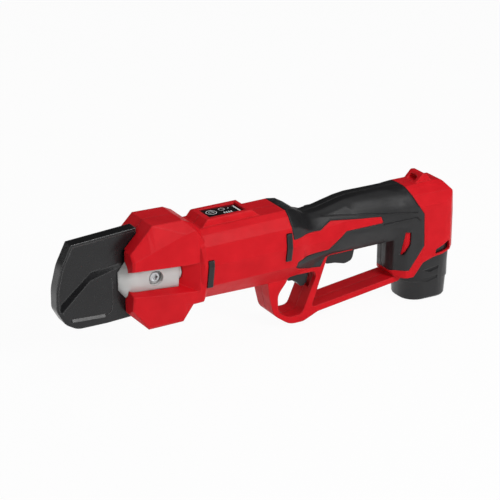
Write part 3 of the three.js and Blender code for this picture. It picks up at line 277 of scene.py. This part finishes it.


# The red's edges are painted slightly paler: a faint painted highlight along the creases, partly wear.
red_nylon = finish("red_nylon", (0.66, 0.007, 0.014), 0.42, edge=0.0016, wear_and_highlight=0.05, shine=0.12)
finished_copy("left_housing", "frame", red_nylon, smooth=11.0)
finished_copy("right_housing", "frame", red_nylon, smooth=11.0)

# Grips and pads: each half has a black elastomer grip moulded into its recesses, satin with a fine
# leathery grain, a raised rim along its outline and ridges that part its fields. The small pads on
# the barrel are pressed-in pieces of black nylon.
ridge_foot = 0.0003
path_step, outside_the_tool = 0.0015, 0.06


def raised_rim(material, reach, height):
    """Adds a low raised band along the sharp edges of a material's pieces."""
    tree = material.node_tree
    band = near_edges(tree, reach, samples=8, within=(0.9, 0.94))[1]
    step = tree.nodes.new("ShaderNodeBump")
    step.inputs["Distance"].default_value = height
    link(tree, band, step.inputs["Height"])
    link(tree, tree.nodes["Bump"].outputs["Normal"], step.inputs["Normal"])
    link(tree, step.outputs["Normal"], tree.nodes["Principled BSDF"].inputs["Normal"])


def rounded_ridge(half_width, height):
    """Section of a rounded ridge as (downward on the side, outward), its foot under the surface."""
    shoulder, shoulder_height = half_width * 0.6, height * 0.8
    return ((-half_width, -ridge_foot), (-half_width, 0.0), (-shoulder, shoulder_height), (0.0, height),
            (shoulder, shoulder_height), (half_width, 0.0), (half_width, -ridge_foot))


def on_the_side(node, sign, points):
    """Places and normals on a side of a solid along points (x, z), a short step apart."""
    skin = bmesh.new()
    skin.from_mesh(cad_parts[node].data)
    surface = BVHTree.FromBMesh(skin)
    path = []
    for (x0, z0), (x1, z1) in zip(points, points[1:]):
        count = max(1, round(math.hypot(x1 - x0, z1 - z0) / path_step))
        for k in range(count if (x1, z1) != points[-1] else count + 1):
            share = k / count
            start = Vector((x0 + (x1 - x0) * share, sign * outside_the_tool, z0 + (z1 - z0) * share))
            place, normal = surface.ray_cast(start, Vector((0.0, -sign, 0.0)))[:2]
            path.append((place, normal))
    skin.free()
    return path


def ridges(name, nodes, body, material, points, section):
    """A ridge of a section on the left and right side of solids, along points (x, z) towards +X."""
    for (side, sign), node in zip((("left", -1.0), ("right", 1.0)), nodes):
        path = on_the_side(node, sign, points)
        shape = bmesh.new()
        front = shape.faces.new([shape.verts.new((across, up, 0.0)) for across, up in section])
        for i, (place, normal) in enumerate(path):
            if i:
                grown = bmesh.ops.extrude_face_region(shape, geom=[front])["geom"]
                old, front = front, next(part for part in grown if isinstance(part, bmesh.types.BMFace))
                if i > 1 and old.is_valid:
                    bmesh.ops.delete(shape, geom=[old], context="FACES_ONLY")
            along = (path[min(i + 1, len(path) - 1)][0] - path[max(i - 1, 0)][0]).normalized()
            sideways = along.cross(normal).normalized()
            for corner, (across, up) in zip(front.verts, section):
                corner.co = place - sideways * sign * across + normal * up
        bmesh.ops.recalc_face_normals(shape, faces=shape.faces)
        piece = in_scene(f"{side}_{name}", shape, material)
        smooth_below(piece, 60.0)
        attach(piece, body)


# The black nylon's edges are painted paler: a painted highlight along the battery's edges, partly wear.
black_nylon = finish("black_nylon", (0.008, 0.008, 0.009), 0.34, grain=0.0005, depth=0.00004,
                     edge=0.0014, wear_and_highlight=0.14, shine=0.4)
grip_rubber = finish("grip_rubber", (0.013, 0.013, 0.014), 0.42, grain=0.0007, depth=0.00016,
                     edge=0.003, wear_and_highlight=0.03, shine=0.4)
raised_rim(grip_rubber, 0.0052, 0.0006)
for side in ("left", "right"):
    finished_copy(f"{side}_grip", "frame", grip_rubber, smooth=32.0)
    for where in ("front", "rear"):
        finished_copy(f"{side}_{where}_pad", "frame", black_nylon)
upper_line = ((-0.1225, 0.106), (-0.104, 0.1046), (-0.083, 0.1023), (-0.059, 0.099), (-0.039, 0.0963),
              (-0.0192, 0.0939))
lower_line = ((-0.0574, 0.0878), (-0.039, 0.0882), (-0.0204, 0.089), (-0.0158, 0.0852))
for name, line in (("grip_upper_ridge", upper_line), ("grip_lower_ridge", lower_line)):
    ridges(name, ("left_grip", "right_grip"), "frame", grip_rubber, line, rounded_ridge(0.0008, 0.0008))

# Small steel parts: zinc-plated screws and pins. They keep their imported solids, turned or ground,
# with a fine grain in the plating.


def dressed(material, *nodes):
    """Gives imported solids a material; they keep their shape and their body."""
    for node in nodes:
        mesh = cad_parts[node].data
        mesh.materials.clear()
        mesh.materials.append(material)


plated_steel = finish("plated_steel", (0.55, 0.56, 0.57), 0.32, grain=0.0003, depth=0.00002,
                      edge=0.0003, metal=1.0, wear_and_highlight=0.2)
dressed(plated_steel, *(f"housing_screw_{i}" for i in range(1, 8)),
        *(f"flange_screw_{i}" for i in range(1, 5)), "hook_pin", "trigger_pin", "yoke_pin")

# Display: a gloss black window with the power button in it, over a green circuit board. Printed
# on it in white are a ring round the button, a battery gauge and a plain bar.
display_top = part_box("display_panel")[1].z
button_low, button_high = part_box("mode_button")
button_middle = (button_low + button_high) / 2
gloss_window = finish("gloss_window", (0.006, 0.006, 0.007), 0.12, depth=0.000002, edge=0.0003,
                      uneven=0.02, wear_and_highlight=0.03)
gloss_window.node_tree.nodes["Principled BSDF"].inputs["Coat Weight"].default_value = 0.4
finished_copy("display_panel", "frame", gloss_window)
finished_copy("mode_button", "button", gloss_window)
white_print = finish("white_print", (0.78, 0.79, 0.8), 0.5, depth=0.000002, edge=0.00005, wear_and_highlight=0.0)
print_thickness = 0.00006


def printed(name, shape, at, body, turn=0.0):
    """Lays a flat print on the display and gives it a hair of thickness."""
    bmesh.ops.rotate(shape, cent=(0.0, 0.0, 0.0), matrix=Matrix.Rotation(turn, 3, "Z"), verts=shape.verts)
    bmesh.ops.translate(shape, vec=at, verts=shape.verts)
    grown = bmesh.ops.extrude_face_region(shape, geom=list(shape.faces))
    risen = [part for part in grown["geom"] if isinstance(part, bmesh.types.BMVert)]
    bmesh.ops.translate(shape, vec=(0.0, 0.0, print_thickness), verts=risen)
    bmesh.ops.recalc_face_normals(shape, faces=shape.faces)
    piece = in_scene(name, shape, white_print)
    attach(piece, body)


def flat_bar(length, width):
    """A flat rectangle round the origin, length along X."""
    shape = bmesh.new()
    bmesh.ops.create_grid(shape, x_segments=1, y_segments=1, size=0.5)
    bmesh.ops.scale(shape, vec=(length, width, 1.0), verts=shape.verts)
    return shape


def flat_ring(radius, width, first=0.0, angle=math.tau, steps=48):
    """A flat ring or part of one, spun from one short edge."""
    shape = bmesh.new()
    inner, outer = (
        shape.verts.new((math.cos(first) * reach, math.sin(first) * reach, 0.0))
        for reach in (radius - width, radius)
    )
    edge = shape.edges.new((inner, outer))
    bmesh.ops.spin(shape, geom=[inner, outer, edge], cent=(0.0, 0.0, 0.0), axis=(0.0, 0.0, 1.0),
                   angle=angle, steps=steps, use_merge=angle == math.tau)
    return shape


def on_button(x):
    """A place on the button, counted from its middle."""
    return (button_middle.x + x, button_middle.y, button_high.z)


def on_panel(x, y):
    """A place on the window, counted from the middle of the button."""
    return (button_middle.x + x, button_middle.y + y, display_top)


bold_line, fine_line = 0.0006, 0.0005
ring_radius, arc_radius, gauge_frame_radius = 0.0052, 0.0026, 0.0030
arc_start, arc_sweep, arc_steps = math.radians(-60.0), math.radians(300.0), 24
gauge_start, gauge_pitch, gauge_mark = 0.0112, 0.0024, (0.0013, 0.0034)
lower_row, upper_row = -0.0048, 0.0042
printed("button_ring", flat_ring(ring_radius, bold_line), on_button(0.0), "button")
printed("button_arc", flat_ring(arc_radius, fine_line, arc_start, arc_sweep, arc_steps),
        on_button(0.0), "button")
printed("button_stroke", flat_bar(0.0026, fine_line), on_button(0.0018), "button")
for i in range(4):
    printed(f"gauge_mark_{i + 1}", flat_bar(*gauge_mark),
            on_panel(gauge_start + gauge_pitch * i, lower_row), "frame")
printed("gauge_frame", flat_ring(gauge_frame_radius, fine_line), on_panel(0.0126, upper_row), "frame")
printed("gauge_tick", flat_bar(0.0024, bold_line), on_panel(0.0196, upper_row), "frame",
        math.radians(50.0))
printed("mode_bar", flat_bar(0.0017, 0.0150), on_panel(0.0262, 0.0), "frame")
board_green = finish("board_green", (0.02, 0.14, 0.05), 0.4, grain=0.002, depth=0.00002, edge=0.0002)
dressed(board_green, "display_board", "sensor_board")

# Nose casting and gearcase: die-cast aluminium, bead-blasted to a soft bright grey. The casting
# is a fork round the blades with a neck and a flange screwed to the gearcase.
blasted_alloy = finish("blasted_alloy", (0.56, 0.56, 0.55), 0.42, grain=0.0006, depth=0.00006,
                       edge=0.0012, metal=0.35, uneven=0.05, wear_and_highlight=0.2, shine=0.5)
finished_copy("nose_casting", "frame", blasted_alloy, smooth=40.0)
finished_copy("gearcase", "frame", blasted_alloy)

# Blades: hardened steel plates ground flat on both faces, lying face to face with a hair between
# them. The edge of the cutting blade is ground to a long bevel; its tail has the slot of the drive.
ground_steel = finish("ground_steel", (0.6, 0.61, 0.62), 0.24, grain=0.0006, depth=0.000012,
                      edge=0.0004, metal=1.0, uneven=0.04, wear_and_highlight=0.1, stretch=(0.05, 1.0, 1.0))
finished_copy("cutting_blade", "cutter", ground_steel)
finished_copy("hook_blade", "frame", ground_steel)
finished_copy("pivot_washer", "frame", ground_steel)

# Pivot bolt and nut: a plated button-head bolt with a six-lobed socket through both blades and
# both cheeks of the casting, held by a hexagon nut in a pocket on the right.
bolt_low, bolt_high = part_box("pivot_bolt")
bolt_middle = (bolt_low + bolt_high) / 2
head_radius = (bolt_high.x - bolt_low.x) / 2
shank_radius = head_radius * 4.0 / 5.6
head_depth, head_round, tip_chamfer = 0.0034, 0.0012, 0.0004
socket_inset, socket_depth, socket_taper = 0.0018, 0.0022, 0.00005
lobes, lobe_middle, lobe_swing = 6.0, 0.0027, 0.0004
finished_copy("pivot_nut", "frame", plated_steel)


def bolt_with_socket():
    """The bolt's profile spun round its axis, with a lobed socket sunk in its head."""
    profile = (
        (0.0, bolt_high.y), (shank_radius - tip_chamfer, bolt_high.y),
        (shank_radius, bolt_high.y - tip_chamfer), (shank_radius, bolt_low.y + head_depth),
        (head_radius, bolt_low.y + head_depth), (head_radius, bolt_low.y + head_round),
        (head_radius - head_round, bolt_low.y),
    )
    shape = bmesh.new()
    points = [shape.verts.new((radius, y, 0.0)) for radius, y in profile]
    edges = [shape.edges.new(pair) for pair in zip(points, points[1:])]
    bmesh.ops.spin(shape, geom=points + edges, cent=(0.0, 0.0, 0.0), axis=(0.0, 1.0, 0.0),
                   angle=math.tau, steps=48, use_merge=True)
    bmesh.ops.remove_doubles(shape, verts=shape.verts, dist=merge_distance)
    rim = [edge for edge in shape.edges if edge.is_boundary]
    face = bmesh.ops.contextual_create(shape, geom=rim)["faces"][0]
    bmesh.ops.inset_region(shape, faces=[face], thickness=socket_inset, depth=0.0)
    for corner in face.verts:
        turn = math.atan2(corner.co.z, corner.co.x)
        reach = lobe_middle + lobe_swing * math.cos(lobes * turn)
        corner.co.x, corner.co.z = math.cos(turn) * reach, math.sin(turn) * reach
    bmesh.ops.inset_region(shape, faces=[face], thickness=socket_taper, depth=-socket_depth)
    bmesh.ops.recalc_face_normals(shape, faces=shape.faces)
    bmesh.ops.translate(shape, vec=(bolt_middle.x, 0.0, bolt_middle.z), verts=shape.verts)
    return shape


bolt = in_scene("pivot_bolt_turned", bolt_with_socket(), plated_steel)
smooth_below(bolt, 35.0)
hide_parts("pivot_bolt")
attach(bolt, "frame")

# Drive: a hardened nut with two arms, a ground ball screw in a thrust bearing, and a planetary
# stage of steel gears. They run in grease, out of sight in the housing.
greased_steel = finish("greased_steel", (0.42, 0.42, 0.41), 0.2, grain=0.0009, depth=0.00003,
                       edge=0.0004, metal=1.0, uneven=0.12, wear_and_highlight=0.15)
dressed(greased_steel, "drive_nut", "thrust_bearing", "ring_gear", "sun_gear", "planet_carrier",
        "planet_gear_1", "planet_gear_2", "planet_gear_3", "front_bearing", "rear_bearing")
thread_depth, thread_scale = 0.0006, 40.0  # crests about 8 mm apart, the lead of the screw
threaded_steel = finish("threaded_steel", (0.5, 0.5, 0.49), 0.2, depth=thread_depth, edge=0.0003,
                        metal=1.0)
thread = threaded_steel.node_tree.nodes.new("ShaderNodeTexWave")
thread.bands_direction = "X"
thread.inputs["Scale"].default_value = thread_scale
thread_place = threaded_steel.node_tree.nodes.new("ShaderNodeTexCoord")
thread_relief = threaded_steel.node_tree.nodes["Bump"]
link(threaded_steel.node_tree, thread_place.outputs["Object"], thread.inputs["Vector"])
link(threaded_steel.node_tree, thread.outputs["Fac"], thread_relief.inputs["Height"])
dressed(threaded_steel, "ball_screw")

# Motor: a drawn steel can round copper windings and a steel rotor. Its moulded end plate is
# dressed with the trigger's black nylon.
motor_steel = finish("motor_steel", (0.2, 0.2, 0.21), 0.34, grain=0.0004, depth=0.00002, metal=1.0)
dressed(motor_steel, "motor_can", "rotor")
wound_copper = finish("wound_copper", (0.5, 0.2, 0.08), 0.3, grain=0.0006, depth=0.0002,
                      edge=0.0003, metal=0.9, uneven=0.15, stretch=(0.08, 1.0, 1.0))
dressed(wound_copper, "stator")

# Trigger: one black nylon bar on a steel pin, with a finger lobe in each hole of the frame. Like
# the switch, its plunger, the control module and the terminal block it is plain moulded plastic.
finished_copy("trigger", "trigger_body", black_nylon, smooth=40.0)
dressed(black_nylon, "trigger_switch", "switch_plunger", "control_module", "terminal_block",
        "motor_end_plate")

# Battery: a black nylon case round three wrapped cells, with a sprung latch tab in each side. It
# slides up into the handle and its flat foot carries the tool.
finished_copy("battery_case", "battery", black_nylon, smooth=40.0)
finished_copy("left_latch", "latch_left", black_nylon, smooth=40.0)
finished_copy("right_latch", "latch_right", black_nylon, smooth=40.0)
cell_wrap = finish("cell_wrap", (0.03, 0.13, 0.3), 0.35, grain=0.003, depth=0.00002, edge=0.0004)
dressed(cell_wrap, "battery_cell_1", "battery_cell_2", "battery_cell_3")

# Sheath: a blow-moulded black polypropylene cover over the blades, with a raised rim and a thicker
# lower panel. The panel has a low fence along its rear edge and a stiffening bar near its bottom;
# the bar is painted a lighter black as a highlight, and the rim's edges carry a painted highlight.
# The sheath's edges are painted much paler: a painted highlight along the rim and panel, partly wear.
sheath_black = finish("sheath_black", (0.008, 0.008, 0.009), 0.28, grain=0.0006, depth=0.00001,
                      edge=0.0014, wear_and_highlight=0.4, shine=0.4)
finished_copy("sheath", "sheath_body", sheath_black)
bar_line = ((-0.3752, 0.0504), (-0.3578, 0.0496), (-0.343, 0.0492))
sloping_ledge = ((-0.0014, -ridge_foot), (-0.0014, 0.0), (0.0013, 0.0014), (0.0015, 0.0012),
                 (0.0015, -ridge_foot))
# The bar's lighter black is a painted highlight, where the bar catches the light.
highlit_bar_black = finish("highlit_bar_black", (0.05, 0.05, 0.051), 0.34, grain=0.0006, depth=0.00001,
                      edge=0.0006, wear_and_highlight=0.2, shine=0.4)
ridges("sheath_bar", ("sheath", "sheath"), "sheath_body", highlit_bar_black, bar_line, sloping_ledge)
fence_line = ((-0.3402, 0.0496), (-0.3378, 0.0506), (-0.3358, 0.054), (-0.335, 0.0594), (-0.3348, 0.0806),
              (-0.3362, 0.0835))
ridges("sheath_fence", ("sheath", "sheath"), "sheath_body", sheath_black, fence_line,
       rounded_ridge(0.0007, 0.0005))
